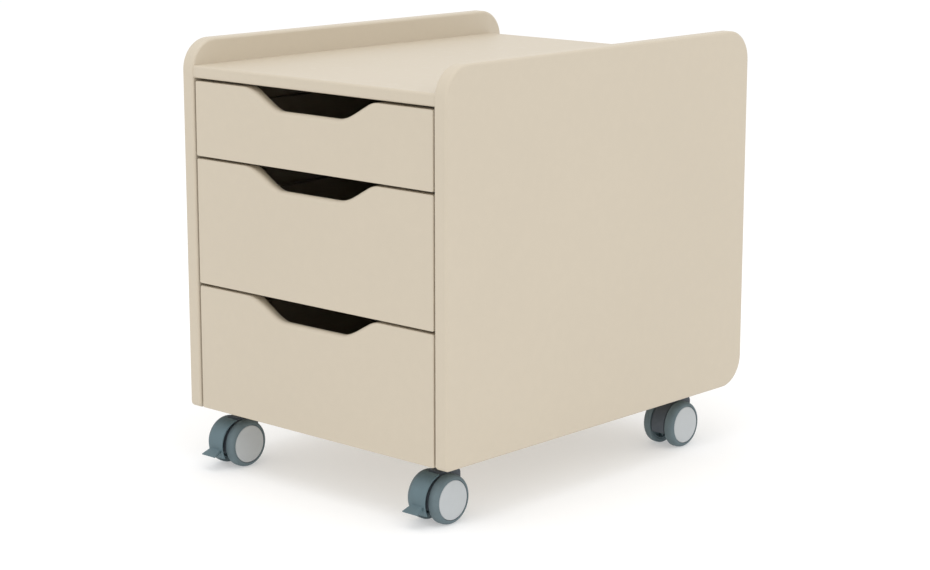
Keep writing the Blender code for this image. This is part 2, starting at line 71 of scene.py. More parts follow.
# Each light's place, the point it aims at, its width and its power
LIGHTS = {
    "top_light": ((0.3, -0.6, 2.8), (0.0, 0.0, 0.4), 2.4, 15.0),
    "right_light": ((2.5, -0.7, 2.2), (0.0, 0.0, 0.25), 2.2, 8.0),
    "front_light": ((-0.9, -2.9, 1.4), (0.0, 0.0, 0.25), 2.2, 1.0),
}

# Colours, linear
LACQUER = (0.573, 0.503, 0.396)
BOX_BOARD = (0.45, 0.385, 0.29)
HARDBOARD = (0.43, 0.365, 0.275)
ZINC = (0.60, 0.61, 0.62)
BRIGHT_STEEL = (0.66, 0.66, 0.67)
CAGE = (0.46, 0.47, 0.48)
SHELL = (0.106, 0.161, 0.183)
# The castor bodies' nylon: a darker tone than the covers' nylon, darkened further as painted shade for the
# shade under the cabinet.
BODY_TONE_AND_SHADE = (0.062, 0.076, 0.094)
TYRE = (0.126, 0.170, 0.187)
DISC = (0.482, 0.506, 0.517)
FLOOR = (0.66, 0.66, 0.66)

# The part of a noise pattern's range that a material uses
PATTERN_LOW = 0.3
PATTERN_HIGH = 0.7

# Steps along an arc, or round a turned piece
SIDE_CORNER_STEPS = 24
CROSS_CORNER_STEPS = 6
FRONT_CORNER_STEPS = 5
BOX_CORNER_STEPS = 3
SLOT_END_STEPS = 8
BEND_STEPS = 5
SEEN_EDGE_STEPS = 6
MOULDED_EDGE_STEPS = 3
SMALL_EDGE_STEPS = 2
SHOULDER_STEPS = 14
TYRE_EDGE_STEPS = 5
DISC_RIM_STEPS = 7
BODY_ARC_STEPS = 32
BODY_CORNER_STEPS = 12
COVER_STEPS = 48
TIP_STEPS = 4
WHEEL_STEPS = 96
NECK_STEPS = 64
PIN_STEPS = 48
AXLE_STEPS = 32
SMALL_ROUND_STEPS = 24
BALL_SUBDIVISIONS = 3

# Limits of the mesh work
ON_AXIS = 1e-9
MERGE_DISTANCE = 1e-7
SHARPEST_MITER = 0.2
SHARP_ANGLE = 38.0
BALL_SHARP_ANGLE = 80.0
DISC_SHARP_ANGLE = 60.0

# Boards. An edge is the radius where a board's face turns into its rim, a corner is one seen face on.
# The eases are how far a front stays inside its CAD box, at its top and at each side.
SIDE_CORNER = 0.032
SIDE_FOOT_CORNER = 0.005
SIDE_EDGE = 0.003
TOP_EDGE = 0.0028
FRONT_FOOT_EDGE = 0.0009
FRONT_EDGE = 0.0014
FRONT_CORNER = 0.0020
FRONT_TOP_EASE = 0.0004
FRONT_SIDE_EASE = 0.0003
BACK_EDGE = 0.001
BOX_EDGE = 0.0004
SCOOP_HALF_TOP = 0.0945
SCOOP_HALF_FLOOR = 0.0392
SCOOP_DEPTH = 0.019
SCOOP_DRAFT = 0.004
SCOOP_EDGE = 0.0062
SCOOP_EDGE_RAMP = 0.35
SCOOP_STEPS = 28
GROOVE_DEPTH = 0.006

# Runners. Slots and screws are at these shares of a member's length, from its front.
SHEET = 0.0012
SHEET_BEND = 0.0017
RUNNER_EDGE = SHEET * 0.2
RUNNER_LIP = 0.0030
BALL_RADIUS = 0.0016
BALL_STEP = 0.011
BALL_COUNT = 8
BALL_START = 0.012
BALL_OFF_WEB = 0.0040
CAGE_SHEET = 0.0006
CAGE_BEND = 0.0008
CAGE_EDGE = CAGE_SHEET * 0.25
CAGE_OFF_WEB = 0.0009
CAGE_FLANGE_PAST_BALL = 0.0012
CAGE_PAST_BALLS = 0.008
CAGE_WINDOW_PLAY = 0.0001
CAGE_WINDOW_HALF = 0.002
SCREW_HEAD = 0.0036
SCREW_RISE = 0.0011
SCREW_SINK = 0.0006
SCREW_SINK_SHARE = 0.95
SCREW_DOME_ANGLE = 15
SCREW_DOME_STEPS = 6
RECESS_REACH = SCREW_HEAD * 0.55
RECESS_HALF = SCREW_HEAD * 0.11
RECESS_FLOOR = SCREW_RISE * 0.35
SLOT_HALF_WIDTH = 0.0022
SLOT_HALF_LENGTH = 0.008
SLOT_CUT = 0.006
SLOT_EDGE = 0.0002
RUNNER_SLOTS = {"cabinet": (0.155, 0.40, 0.82), "drawer": (0.19, 0.52, 0.80)}
RUNNER_SCREWS = {"cabinet": (0.075, 0.60, 0.93), "drawer": (0.10, 0.36, 0.92)}

# Wheels. Inner and outer are distances from the castor's middle, along the axle.
WHEEL_RADIUS = 0.025
SHOULDER_WIDTH = 0.0060
SHOULDER_DROP = 0.0046
WHEEL_INNER = 0.0095
WHEEL_OUTER = 0.0208
WHEEL_WIDTH = WHEEL_OUTER - WHEEL_INNER
WHEEL_BORE = 0.0085
TYRE_SINK = 0.0005
TYRE_INSET = 0.0004
TYRE_EDGE = 0.0008
TYRE_BORE = 0.0208
TYRE_BORE_CHAMFER = 0.0004
TYRE_BORE_DROP = 0.0020
TYRE_LIP_DROP = 0.0003
TYRE_LIP_DEPTH = 0.0016
DISC_RADIUS = 0.0200
DISC_GROOVE = 0.0004
DISC_THICK = 0.0022
DISC_DOME = 0.0006
DISC_DOME_SHARES = (0.93, 0.8, 0.6, 0.4, 0.2, 0.0)
DISC_RIM = 0.0009
DISC_RIM_ANGLE = 76
DISC_CHAMFER = 0.0003
CORE_RADIUS = 0.0205
CORE_WALL = 0.0190
CORE_RECESS = 0.0045
CORE_HUB = 0.0066
CORE_INSET = 0.0002
CORE_HUB_CHAMFER = 0.0004
CORE_RIM_CHAMFER = 0.0005
CORE_OFF_DISC = 0.0002
RIB_COUNT = 6
RIB_HALF = 0.0006
RIB_INSET = 0.0012
RIB_SINK_IN_HUB = 0.0006
RIB_SINK_IN_WALL = 0.0004
RIB_SINK_IN_FLOOR = 0.0007

# Castor bodies, axles and stems. A point is (Y, Z) about the axle, and the wheels touch the floor
# a wheel's radius below it. Neck top and stem foot are heights above the floor.
# An arc's angles are in degrees from -Y towards +Z.
AXLE_RADIUS = 0.003
AXLE_TIP = 0.0005
PLAY = 0.0003
TRAIL = 0.0135
BODY_HALF = 0.0085
BODY_EDGE = 0.0008
BODY_RADIUS = 0.024
BODY_CROWN = 0.027
BODY_CROWN_CORNER = 0.006
BODY_STEP_LEAN = 0.0004
BODY_BACK = 0.0235
BODY_UNDERSIDE = -0.008
BODY_FOOT_CORNER = 0.008
BODY_ARC = (-19.0, 77.0)
NECK_RADIUS = 0.008
NECK_TOP = 0.0610
NECK_SINK = 0.004
NECK_EDGE = 0.0008
STEM_RADIUS = 0.004
STEM_FOOT = 0.036
STEM_TIP = 0.0008
STEM_CHAMFER = 0.0003
SLEEVE_RADIUS = 0.0055
SLEEVE_FLANGE = 0.0010

# Brake levers, measured as the bodies are. The pedal's nose is given from its tip.
LEVER_CENTRE = -0.0035
LEVER_INNER = 0.0254
LEVER_OUTER = 0.0270
LEVER_ARC = (-29.0, 78.0)
LEVER_HALF = 0.0103
LEVER_EDGE = 0.0004
LEVER_RIB_HALF = 0.003
LEVER_RIB_RISE = 0.004
LEVER_HUB_RADIUS = 0.007
LEVER_HUB_PLAY = 0.0005
LEVER_SLOT_HALF = 0.0034
LEVER_SLOT_LOW = -0.012
LEVER_SLOT_HIGH = 0.005
PEDAL_TIP_HALF = 0.0102
PEDAL_ROOT_HALF = 0.0074
PEDAL_TIP = (-0.0408, -0.0077)
PEDAL_ROOT = (-0.0296, -0.0024)
PEDAL_ROOT_FOOT = (-0.0290, -0.0066)
PEDAL_NOSE = ((0.0004, 0.00005), (0.0, -0.0004), (0.0002, -0.0010), (0.0009, -0.0013))
PEDAL_EDGE = 0.0003

# How far a cutter reaches past what it cuts
CUT_PAST = 0.01

# A board lies in X and Y and is thick along Z: these turn it upright
THICK_ALONG_X = Matrix(((0, 0, 1), (1, 0, 0), (0, 1, 0))).to_4x4()
THICK_ALONG_Y = Matrix(((1, 0, 0), (0, 0, -1), (0, 1, 0))).to_4x4()


# --- materials -----------------------------------------------------------------------------------


class Finish:
    """A procedural material, with short ways to add its textures."""

    def __init__(self, name, roughness, metallic=0.0, specular=0.5):
        self.material = bpy.data.materials.new(name)
        self.material.use_nodes = True
        self.tree = self.material.node_tree
        self.shader = self.tree.nodes["Principled BSDF"]
        self.set("Roughness", roughness)
        self.set("Metallic", metallic)
        self.set("Specular IOR Level", specular)
        self.place = self.tree.nodes.new("ShaderNodeTexCoord").outputs["Object"]

    def set(self, socket, value):
        self.shader.inputs[socket].default_value = value

    def link(self, source, target):
        self.tree.links.new(source, target)

    def noise(self, scale, detail, stretch=(1, 1, 1), distortion=0.0):
        mapping = self.tree.nodes.new("ShaderNodeMapping")
        mapping.inputs["Scale"].default_value = stretch
        self.link(self.place, mapping.inputs["Vector"])
        texture = self.tree.nodes.new("ShaderNodeTexNoise")
        texture.inputs["Scale"].default_value = scale
        texture.inputs["Detail"].default_value = detail
        texture.inputs["Distortion"].default_value = distortion
        self.link(mapping.outputs["Vector"], texture.inputs["Vector"])
        return texture.outputs["Fac"]

    def cells(self, scale):
        texture = self.tree.nodes.new("ShaderNodeTexVoronoi")
        texture.inputs["Scale"].default_value = scale
        self.link(self.place, texture.inputs["Vector"])
        return texture.outputs["Distance"]

    def spread(self, source, low, high):
        """The used part of a pattern's range, remapped from low to high."""
        node = self.tree.nodes.new("ShaderNodeMapRange")
        node.inputs["From Min"].default_value = PATTERN_LOW
        node.inputs["From Max"].default_value = PATTERN_HIGH
        node.inputs["To Min"].default_value = low
        node.inputs["To Max"].default_value = high
        self.link(source, node.inputs["Value"])
        return node.outputs["Result"]

    def sum(self, first, second, share):
        """The first pattern plus a share of the second."""
        node = self.tree.nodes.new("ShaderNodeMath")
        node.operation = "MULTIPLY_ADD"
        self.link(second, node.inputs[0])
        node.inputs[1].default_value = share
        self.link(first, node.inputs[2])
        return node.outputs["Value"]

    def colour(self, base, *layers):
        """The base colour, darkened and lightened by each (pattern, depth) in turn."""
        value = None
        for pattern, depth in layers:
            factor = self.spread(pattern, 1.0 - depth, 1.0 + depth)
            if value is None:
                value = factor
                continue
            node = self.tree.nodes.new("ShaderNodeMath")
            node.operation = "MULTIPLY"
            self.link(value, node.inputs[0])
            self.link(factor, node.inputs[1])
            value = node.outputs["Value"]
        tint = self.tree.nodes.new("ShaderNodeVectorMath")
        tint.operation = "SCALE"
        tint.inputs[0].default_value = base
        self.link(value, tint.inputs["Scale"])
        self.link(tint.outputs["Vector"], self.shader.inputs["Base Color"])

    def roughness(self, pattern, low, high):
        self.link(self.spread(pattern, low, high), self.shader.inputs["Roughness"])

    def bump(self, pattern, depth):
        node = self.tree.nodes.new("ShaderNodeBump")
        node.inputs["Distance"].default_value = depth
        self.link(pattern, node.inputs["Height"])
        self.link(node.outputs["Normal"], self.shader.inputs["Normal"])


def lacquer():
    """Satin lacquer on board: a faint cloud in the colour and a fine orange peel."""
    finish = Finish("satin_lacquer", 0.42, specular=0.42)
    cloud = finish.noise(4.0, 3.0)
    mottle = finish.noise(90.0, 2.0)
    peel = finish.noise(520.0, 1.0)
    grit = finish.noise(2600.0, 0.0)
    finish.colour(LACQUER, (cloud, 0.012), (mottle, 0.008), (grit, 0.006))
    finish.roughness(finish.sum(mottle, cloud, 0.5), 0.36, 0.50)
    finish.bump(finish.sum(peel, grit, 0.35), 0.00006)
    finish.set("Coat Weight", 0.08)
    finish.set("Coat Roughness", 0.30)
    return finish.material


def melamine():
    """Melamine-faced board of the drawer boxes, with its fine pearl texture."""
    finish = Finish("melamine", 0.52)
    cloud = finish.noise(9.0, 3.0)
    pearl = finish.noise(900.0, 2.0)
    fibre = finish.noise(60.0, 3.0, stretch=(8.0, 1.0, 8.0))
    finish.colour(BOX_BOARD, (cloud, 0.02), (fibre, 0.015), (pearl, 0.02))
    finish.roughness(pearl, 0.45, 0.62)
    finish.bump(pearl, 0.00008)
    return finish.material


def hardboard():
    """Painted thin fibreboard: short fibres telegraph through the paint."""
    finish = Finish("painted_hardboard", 0.60)
    cloud = finish.noise(12.0, 3.0)
    fibre = finish.noise(420.0, 4.0, stretch=(1.0, 0.35, 1.0), distortion=0.6)
    finish.colour(HARDBOARD, (cloud, 0.03), (fibre, 0.05))
    finish.roughness(fibre, 0.50, 0.72)
    finish.bump(fibre, 0.00010)
    return finish.material


def zinc():
    """Rolled and zinc-plated sheet: drawn lines along Y and a faint spangle."""
    finish = Finish("zinc_plated_steel", 0.34, metallic=1.0)
    lines = finish.noise(900.0, 3.0, stretch=(1.0, 0.02, 1.0))
    spangle = finish.cells(260.0)
    cloud = finish.noise(25.0, 3.0)
    finish.colour(ZINC, (lines, 0.06), (spangle, 0.03), (cloud, 0.06))
    finish.roughness(finish.sum(lines, cloud, 0.6), 0.26, 0.48)
    finish.bump(lines, 0.00003)
    return finish.material


def bright_steel():
    """Turned bright steel: fine lines round the piece come out as short scratches."""
    finish = Finish("bright_steel", 0.22, metallic=1.0)
    lines = finish.noise(1500.0, 2.0, stretch=(0.15, 0.15, 3.0))
    cloud = finish.noise(60.0, 3.0)
    finish.colour(BRIGHT_STEEL, (lines, 0.05), (cloud, 0.04))
    finish.roughness(finish.sum(lines, cloud, 0.5), 0.16, 0.34)
    finish.bump(lines, 0.00001)
    return finish.material


def cage_steel():
    """Thin blackened strip of the ball cages, with an oily bloom."""
    finish = Finish("cage_strip", 0.40, metallic=1.0)
    bloom = finish.noise(70.0, 3.0)
    lines = finish.noise(1100.0, 2.0, stretch=(1.0, 0.05, 1.0))
    finish.colour(CAGE, (bloom, 0.10), (lines, 0.05))
    finish.roughness(bloom, 0.28, 0.50)
    finish.bump(lines, 0.00002)
    return finish.material


def moulded_nylon(name, base):
    """Moulded nylon of the castors: spark-eroded grain and slight flow marks."""
    finish = Finish(name, 0.46, specular=0.45)
    flow = finish.noise(70.0, 2.0, distortion=1.0)
    grain = finish.noise(2800.0, 2.0)
    finish.colour(base, (flow, 0.035), (grain, 0.04))
    finish.roughness(finish.sum(grain, flow, 0.6), 0.38, 0.58)
    finish.bump(grain, 0.00005)
    return finish.material


def tyre_rubber():
    """Soft grey tread: a matt skin with fine scuffs round the wheel."""
    finish = Finish("soft_tread", 0.62, specular=0.38)
    bloom = finish.noise(110.0, 3.0)
    scuff = finish.noise(1600.0, 3.0, stretch=(2.5, 1.0, 1.0))
    finish.colour(TYRE, (bloom, 0.06), (scuff, 0.06))
    finish.roughness(finish.sum(scuff, bloom, 0.6), 0.52, 0.76)
    finish.bump(scuff, 0.00006)
    return finish.material


def disc_plastic():
    """Pale satin cover of the wheels."""
    finish = Finish("pale_disc", 0.40, specular=0.45)
    flow = finish.noise(60.0, 2.0, distortion=0.8)
    grain = finish.noise(2400.0, 1.0)
    finish.colour(DISC, (flow, 0.015), (grain, 0.02))
    finish.roughness(finish.sum(grain, flow, 0.5), 0.32, 0.48)
    finish.bump(grain, 0.00003)
    return finish.material


def floor_paint():
    """Pale studio floor that keeps a faint shadow."""
    finish = Finish("studio_floor", 0.9, specular=0.0)
    cloud = finish.noise(1.5, 3.0)
    finish.colour(FLOOR, (cloud, 0.01))
    finish.set("Emission Color", (1.0, 1.0, 1.0, 1.0))
    finish.set("Emission Strength", FLOOR_GLOW)
    return finish.material


# --- shapes --------------------------------------------------------------------------------------


def arc(centre, radius, start, end, steps):
    """Points of an arc, its angles in degrees from the first axis towards the second."""
    points = []
    for step in range(steps + 1):
        angle = math.radians(start + (end - start) * step / steps)
        points.append((centre[0] + radius * math.cos(angle), centre[1] + radius * math.sin(angle)))
    return points


def rounded_rectangle(low, high, radii, steps):
    """Corners run anticlockwise from (low, low)."""
    first, second, third, fourth = radii
    points = arc((low[0] + first, low[1] + first), first, 180, 270, steps)
    points += arc((high[0] - second, low[1] + second), second, 270, 360, steps)
    points += arc((high[0] - third, high[1] - third), third, 0, 90, steps)
    points += arc((low[0] + fourth, high[1] - fourth), fourth, 90, 180, steps)
    return points


def area(outline):
    following = outline[1:] + outline[:1]
    return sum(a[0] * b[1] - b[0] * a[1] for a, b in zip(outline, following)) / 2


def inward_miters(outline):
    """For each point of an anticlockwise outline, the step that moves both its edges inwards by one."""
    steps = []
    count = len(outline)
    for index, point in enumerate(outline):
        before = Vector(point) - Vector(outline[index - 1])
        after = Vector(outline[(index + 1) % count]) - Vector(point)
        first = Vector((-before.y, before.x)).normalized()
        second = Vector((-after.y, after.x)).normalized()
        steps.append((first + second) / max(1.0 + first.dot(second), SHARPEST_MITER))
    return steps


def board(outline, thickness, edge, steps, upper=None):
    """A board lying in the first two axes, the edges of both its faces rounded.

    The outline is at its lower face. The upper face has the same one, or another with as many points.
    The edge is one radius, or one for each point.
    """
    upper = upper or outline
    radii = edge if isinstance(edge, list) else [edge] * len(outline)
    if area(outline) < 0:
        outline, upper, radii = outline[::-1], upper[::-1], radii[::-1]
    miters = inward_miters(outline)
    levels = []
    for step in range(steps + 1):
        angle = math.pi / 2 * step / steps
        levels.append((1 - math.sin(angle), 1 - math.cos(angle), -1))
    levels += [(inset, rise, 1) for inset, rise, _ in reversed(levels)]
    shape = bmesh.new()
    rings = []
    for inset, rise, face in levels:
        ring = []
        for below, above, miter, radius in zip(outline, upper, miters, radii):
            height = face * (thickness / 2 - radius * rise)
            share = height / thickness + 0.5
            x = below[0] + (above[0] - below[0]) * share + miter.x * radius * inset
            y = below[1] + (above[1] - below[1]) * share + miter.y * radius * inset
            ring.append(shape.verts.new((x, y, height)))
        rings.append(ring)
    bridge(shape, rings)
    shape.faces.new(reversed(rings[0]))
    shape.faces.new(rings[-1])
    return shape


def bridge(shape, rings):
    """Quads between each ring and the next."""
    for lower, upper in zip(rings, rings[1:]):
        count = len(lower)
        for index in range(count):
            following = (index + 1) % count
            shape.faces.new((lower[index], lower[following], upper[following], upper[index]))


def turned(profile, steps, ring=False):
    """A solid turned about the third axis. The profile is (radius, height).

    A ring's profile closes on itself.
    """
    shape = bmesh.new()
    rings = []
    for radius, height in profile:
        if radius < ON_AXIS:
            rings.append([shape.verts.new((0, 0, height))])
            continue
        points = []
        for step in range(steps):
            angle = math.tau * step / steps
            points.append(shape.verts.new((radius * math.cos(angle), radius * math.sin(angle), height)))
        rings.append(points)
    pairs = list(zip(rings, rings[1:]))
    if ring:
        pairs.append((rings[-1], rings[0]))
    for lower, upper in pairs:
        for index in range(steps):
            following = (index + 1) % steps
            corners = [lower[index % len(lower)], lower[following % len(lower)]]
            corners += [upper[following % len(upper)], upper[index % len(upper)]]
            unique = list(dict.fromkeys(corners))
            if len(unique) > 2:
                shape.faces.new(unique)
    bmesh.ops.recalc_face_normals(shape, faces=shape.faces)
    return shape


def moved(shape, matrix):
    bmesh.ops.transform(shape, matrix=matrix, verts=shape.verts)
    return shape


def added(shape, other):
    """Both shapes in one, the second one used up."""
    mesh = bpy.data.meshes.new("part")
    other.to_mesh(mesh)
    other.free()
    shape.from_mesh(mesh)
    bpy.data.meshes.remove(mesh)
    return shape


def copies(shape, matrices):
    """The shape repeated at each matrix, in one new shape."""
    whole = bmesh.new()
    mesh = bpy.data.meshes.new("part")
    shape.to_mesh(mesh)
    for matrix in matrices:
        single = bmesh.new()
        single.from_mesh(mesh)
        moved(single, matrix)
        added(whole, single)
    shape.free()
    bpy.data.meshes.remove(mesh)
    return whole


def object_from(name, shape):
    mesh = bpy.data.meshes.new(name)
    shape.to_mesh(mesh)
    shape.free()
    made = bpy.data.objects.new(name, mesh)
    bpy.context.scene.collection.objects.link(made)
    return made


def combined(shape, *changes):
    """The shape after each (operation, other shape) in turn, as one closed shape."""
    target = object_from("combined", shape)
    helpers = []
    for operation, other in changes:
        helper = object_from("helper", other)
        helpers.append(helper)
        modifier = target.modifiers.new(operation, "BOOLEAN")
        modifier.operation = operation
        modifier.object = helper
    graph = bpy.context.evaluated_depsgraph_get()
    mesh = bpy.data.meshes.new_from_object(target.evaluated_get(graph))
    result = bmesh.new()
    result.from_mesh(mesh)
    bpy.data.meshes.remove(mesh)
    for helper in [target, *helpers]:
        data = helper.data
        bpy.data.objects.remove(helper, do_unlink=True)
        bpy.data.meshes.remove(data)
    return result


def block(low, high):
    low = Vector(low)
    size = Vector(high) - low
    shape = bmesh.new()
    bmesh.ops.create_cube(shape, size=1.0)
    bmesh.ops.scale(shape, vec=size, verts=shape.verts)
    bmesh.ops.translate(shape, vec=low + size / 2, verts=shape.verts)
    return shape


def rod(radius, start, end, steps=PIN_STEPS):
    start = Vector(start)
    along = Vector(end) - start
    shape = bmesh.new()
    bmesh.ops.create_cone(
        shape, cap_ends=True, segments=steps, radius1=radius, radius2=radius, depth=along.length
    )
    turn = along.to_track_quat("Z", "Y").to_matrix().to_4x4()
    return moved(shape, Matrix.Translation(start + along / 2) @ turn)


def filleted(path, radius, steps):
    """An open path with each inner corner rounded."""
    points = [Vector(path[0])]
    for before, corner, after in zip(path, path[1:], path[2:]):
        corner = Vector(corner)
        back = (Vector(before) - corner).normalized()
        ahead = (Vector(after) - corner).normalized()
        half = back.angle(ahead) / 2
        reach = radius / math.tan(half)
        centre = corner + (back + ahead).normalized() * (radius / math.sin(half))
        first = corner + back * reach - centre
        turn = (corner + ahead * reach - centre).angle_signed(first)
        for step in range(steps + 1):
            angle = turn * step / steps
            cos, sin = math.cos(angle), math.sin(angle)
            points.append(centre + Vector((first.x * cos - first.y * sin, first.x * sin + first.y * cos)))
    points.append(Vector(path[-1]))
    return points


def bent_sheet(path, sheet=SHEET, bend=SHEET_BEND):
    """The outline of a folded sheet whose middle follows the path."""
    line = filleted(path, bend, BEND_STEPS)
    left, right = [], []
    for index, point in enumerate(line):
        ahead = line[min(index + 1, len(line) - 1)] - line[max(index - 1, 0)]
        side = Vector((-ahead.y, ahead.x)).normalized() * (sheet / 2)
        left.append(tuple(point + side))
        right.append(tuple(point - side))
    return left + right[::-1]


# --- pieces --------------------------------------------------------------------------------------


def piece(name, shape, material, body, nodes=(), sharp=SHARP_ANGLE):
    """A visible piece: smooth where it curves, on its body, standing for its CAD nodes."""
    bmesh.ops.remove_doubles(shape, verts=shape.verts, dist=MERGE_DISTANCE)
    made = object_from(name, shape)
    made.data.materials.append(MATERIALS[material])
    made.data.shade_smooth()
    made.data.set_sharp_from_angle(angle=math.radians(sharp))
    weighted = made.modifiers.new("Even shading", "WEIGHTED_NORMAL")
    weighted.keep_sharp = True
    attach(made, body)
    if nodes:
        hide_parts(*nodes)
    return made


def side_board(side):
    low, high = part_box(side + "_side_panel")
    radii = (SIDE_FOOT_CORNER, SIDE_CORNER, SIDE_CORNER, SIDE_CORNER)
    outline = rounded_rectangle((low.y, low.z), (high.y, high.z), radii, SIDE_CORNER_STEPS)
    middle = Matrix.Translation(((low.x + high.x) / 2, 0, 0))
    shape = moved(board(outline, high.x - low.x, SIDE_EDGE, SEEN_EDGE_STEPS), middle @ THICK_ALONG_X)
    piece(side + "_side_board", shape, "lacquer", "cabinet", [side + "_side_panel"])


def cross_board(name, node, edges):
    """A board housed between the sides.

    Its (Y, Z) section has these edge radii, anticlockwise from front bottom.
    """
    low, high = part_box(node)
    span = high.x - low.x + 2 * (PLAY + BOX_EDGE)
    outline = rounded_rectangle((low.y, low.z), (high.y, high.z), edges, CROSS_CORNER_STEPS)
    middle = Matrix.Translation(((low.x + high.x) / 2, 0, 0))
    shape = moved(board(outline, span, BOX_EDGE / 2, SMALL_EDGE_STEPS), middle @ THICK_ALONG_X)
    piece(name, shape, "lacquer", "cabinet", [node])


def scoop(share, draft):
    """A point of the scoop's flank: its distance from the middle and its drop below the top edge."""
    x = SCOOP_HALF_TOP + (SCOOP_HALF_FLOOR - SCOOP_HALF_TOP) * share
    return x, (SCOOP_DEPTH + draft) * (1 - math.cos(math.pi * share)) / 2


def front_outline(half, bottom, top, draft):
    """A front's outline with its scoop, anticlockwise from the lower left corner."""
    corner = FRONT_CORNER
    steps = FRONT_CORNER_STEPS
    outline = arc((corner - half, bottom + corner), corner, 180, 270, steps)
    outline += arc((half - corner, bottom + corner), corner, 270, 360, steps)
    outline += arc((half - corner, top - corner), corner, 0, 90, steps)
    flank = [scoop(step / SCOOP_STEPS, draft) for step in range(SCOOP_STEPS + 1)]
    outline += [(x, top - drop) for x, drop in flank]
    outline += [(-x, top - drop) for x, drop in reversed(flank)]
    return outline + arc((corner - half, top - corner), corner, 90, 180, steps)


def front_edges():
    """The edge radius at each point of a front's outline: crisp along its foot and soft round the scoop."""
    flank = []
    for step in range(SCOOP_STEPS + 1):
        share = min(step / SCOOP_STEPS / SCOOP_EDGE_RAMP, 1.0)
        flank.append(FRONT_EDGE + (SCOOP_EDGE - FRONT_EDGE) * share)
    foot_corner = [FRONT_FOOT_EDGE] * (FRONT_CORNER_STEPS + 1)
    top_corner = [FRONT_EDGE] * (FRONT_CORNER_STEPS + 1)
    return foot_corner + foot_corner + top_corner + flank + flank[::-1] + top_corner


def drawer_front(name):
    """The finger scoop is cut at a slant: it is deeper at the back of the front."""
    low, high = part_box(name + "_front")
    half = (high.x - low.x) / 2 - FRONT_SIDE_EASE
    top = high.z - FRONT_TOP_EASE
    face = front_outline(half, low.z, top, 0.0)
    back = front_outline(half, low.z, top, SCOOP_DRAFT)
    middle = Matrix.Translation(((low.x + high.x) / 2, (low.y + high.y) / 2, 0))
    shape = board(back, high.y - low.y, front_edges(), SEEN_EDGE_STEPS, face)
    moved(shape, middle @ THICK_ALONG_Y)
    piece(name + "_face", shape, "lacquer", name, [name + "_front"])


def box_side(name, side):
    """The grooved board on one side of a drawer box."""
    node = f"{name}_{side}_side"
    low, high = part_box(node)
    floor_low, floor_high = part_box(name + "_floor")
    sign = 1 if side == "right" else -1
    outer = high.x if sign > 0 else low.x
    inner = low.x if sign > 0 else high.x
    groove = inner + sign * GROOVE_DEPTH
    foot, head = floor_low.z - PLAY, floor_high.z + PLAY
    outline = [
        (outer, low.z),
        (outer, high.z),
        (inner, high.z),
        (inner, head),
        (groove, head),
        (groove, foot),
        (inner, foot),
        (inner, low.z),
    ]
    middle = Matrix.Translation((0, (low.y + high.y) / 2, 0))
    shape = moved(board(outline, high.y - low.y, BOX_EDGE, SMALL_EDGE_STEPS), middle @ THICK_ALONG_Y)
    piece(f"{name}_{side}_board", shape, "melamine", name, [node])


def box_back(name):
    node = name + "_back"
    low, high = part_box(node)
    outline = rounded_rectangle((low.y, low.z), (high.y, high.z), (BOX_EDGE,) * 4, BOX_CORNER_STEPS)
    middle = Matrix.Translation(((low.x + high.x) / 2, 0, 0))
    shape = board(outline, high.x - low.x, BOX_EDGE / 2, SMALL_EDGE_STEPS)
    moved(shape, middle @ THICK_ALONG_X)
    piece(name + "_back_board", shape, "melamine", name, [node])


def box_floor(name):
    node = name + "_floor"
    low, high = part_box(node)
    outline = rounded_rectangle((low.x, low.y), (high.x, high.y), (BOX_EDGE,) * 4, BOX_CORNER_STEPS)
    middle = Matrix.Translation((0, 0, (low.z + high.z) / 2))
    shape = moved(board(outline, high.z - low.z, BOX_EDGE / 2, SMALL_EDGE_STEPS), middle)
    piece(name + "_bottom_board", shape, "hardboard", name, [node])


def screw_shape():
    """A pan head with a cross recess. Its top faces up, and it sits on the origin."""
    head = [(0.0, -SCREW_SINK), (SCREW_HEAD * SCREW_SINK_SHARE, -SCREW_SINK), (SCREW_HEAD, 0.0)]
    for step in range(1, SCREW_DOME_STEPS):
        angle = math.radians(SCREW_DOME_ANGLE * step)
        head.append((SCREW_HEAD * math.cos(angle), SCREW_RISE * math.sin(angle)))
    head.append((0.0, SCREW_RISE))
    reach, half, past = RECESS_REACH, RECESS_HALF, SCREW_RISE * 2
    first = block((-reach, -half, RECESS_FLOOR), (reach, half, past))
    second = block((-half, -reach, RECESS_FLOOR), (half, reach, past))
    head_shape = turned(head, SMALL_ROUND_STEPS)
    return combined(head_shape, ("DIFFERENCE", first), ("DIFFERENCE", second))


def slot_shape():
    """What is cut from a runner's web to leave a slot with round ends."""
    low, high = (-SLOT_HALF_WIDTH, -SLOT_HALF_LENGTH), (SLOT_HALF_WIDTH, SLOT_HALF_LENGTH)
    outline = rounded_rectangle(low, high, (SLOT_HALF_WIDTH,) * 4, SLOT_END_STEPS)
    return board(outline, SLOT_CUT, SLOT_EDGE, 1)


